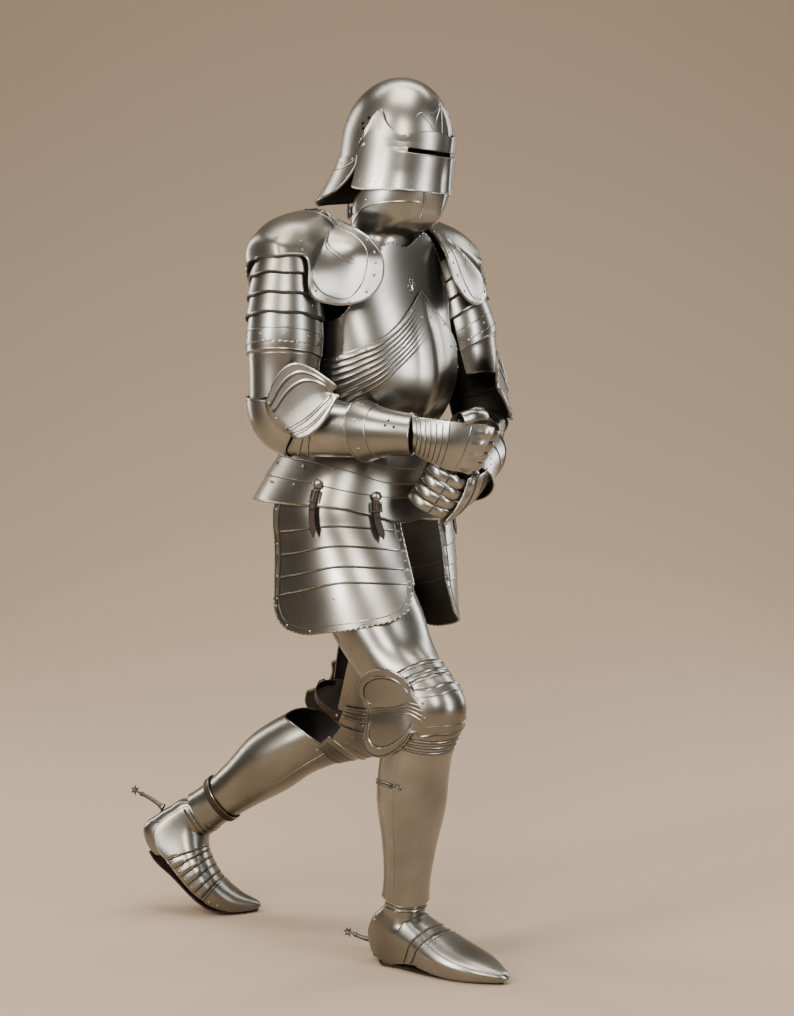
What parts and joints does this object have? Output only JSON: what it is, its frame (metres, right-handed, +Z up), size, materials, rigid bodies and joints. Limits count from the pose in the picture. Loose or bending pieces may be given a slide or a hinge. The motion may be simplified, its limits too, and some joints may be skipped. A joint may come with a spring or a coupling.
{
  "type": "suit of plate armour",
  "caption": "Hollow suit of fluted steel plate armour in a walking pose, with a sallet and lifting visor, bevor, gauntlets, tassets, sabatons and spurs.",
  "frame": {"origin": "middle of the wearer's waist, inside the cuirass at its lower edge, where the suit is carried", "axes": "+Z up, the suit faces -Y, its left side is +X"},
  "size_m": [0.5856, 0.9766, 1.6483],
  "materials": {
    "steel": "hand polished, lightly scratched and toned",
    "leather": "dark brown, worn"
  },
  "bodies": {
    "suit": {"ankle_strap_left": "leather", "arm_lame_1_left": "steel", "arm_lame_1_right": "steel", "arm_lame_2_left": "steel", "arm_lame_2_right": "steel", "arm_lame_3_left": "steel", "arm_lame_3_right": "steel", "backplate": "steel", "bevor": "steel", "breastplate": "steel", "couter_left": "steel", "couter_right": "steel", "cuisse_left": "steel", "cuisse_right": "steel", "fauld_hoop_1": "steel", "fauld_hoop_2": "steel", "fauld_hoop_3": "steel", "gauntlet_cuff_left": "steel", "gauntlet_cuff_right": "steel", "gauntlet_fingers_left": "steel", "gauntlet_fingers_right": "steel", "gauntlet_hand_left": "steel", "gauntlet_hand_right": "steel", "greave_left": "steel", "greave_right": "steel", "heel_plate_left": "steel", "heel_plate_right": "steel", "knee_lames_lower_left": "steel", "knee_lames_lower_right": "steel", "knee_lames_upper_left": "steel", "knee_lames_upper_right": "steel", "lower_cannon_left": "steel", "lower_cannon_right": "steel", "pauldron_left": "steel", "pauldron_right": "steel", "plackart": "steel", "poleyn_left": "steel", "poleyn_right": "steel", "sabaton_lames_left": "steel", "sabaton_lames_right": "steel", "sallet_skull": "steel", "sallet_tail": "steel", "shoulder_strap_right": "leather", "sole_left": "leather", "sole_right": "leather", "spur_left": "steel", "spur_right": "steel", "tasset_left": "steel", "tasset_right": "steel", "tasset_strap_left_front": "leather", "tasset_strap_left_rear": "leather", "tasset_strap_right_front": "leather", "tasset_strap_right_rear": "leather", "toe_cap_left": "steel", "toe_cap_right": "steel", "upper_cannon_left": "steel", "upper_cannon_right": "steel"},
    "visor": {"sallet_visor": "steel"},
    "rowel_right": {"rowel_right": "steel"},
    "rowel_left": {"rowel_left": "steel"}
  },
  "joints": [
    {"name": "visor_lift", "type": "hinge", "parent": "suit", "child": "visor", "pos_m": [0.0003, -0.0744, 0.5282], "axis": [-0.9781, -0.2079, 0], "range_deg": [0, 16]},
    {"name": "rowel_right_spin", "type": "hinge", "parent": "suit", "child": "rowel_right", "pos_m": [-0.05, -0.006, -0.95], "axis": [-0.9319, -0.3245, -0.1621], "continuous": true},
    {"name": "rowel_left_spin", "type": "hinge", "parent": "suit", "child": "rowel_left", "pos_m": [-0.073, 0.594, -0.753], "axis": [0.8749, 0.4632, -0.1415], "continuous": true}
  ]
}
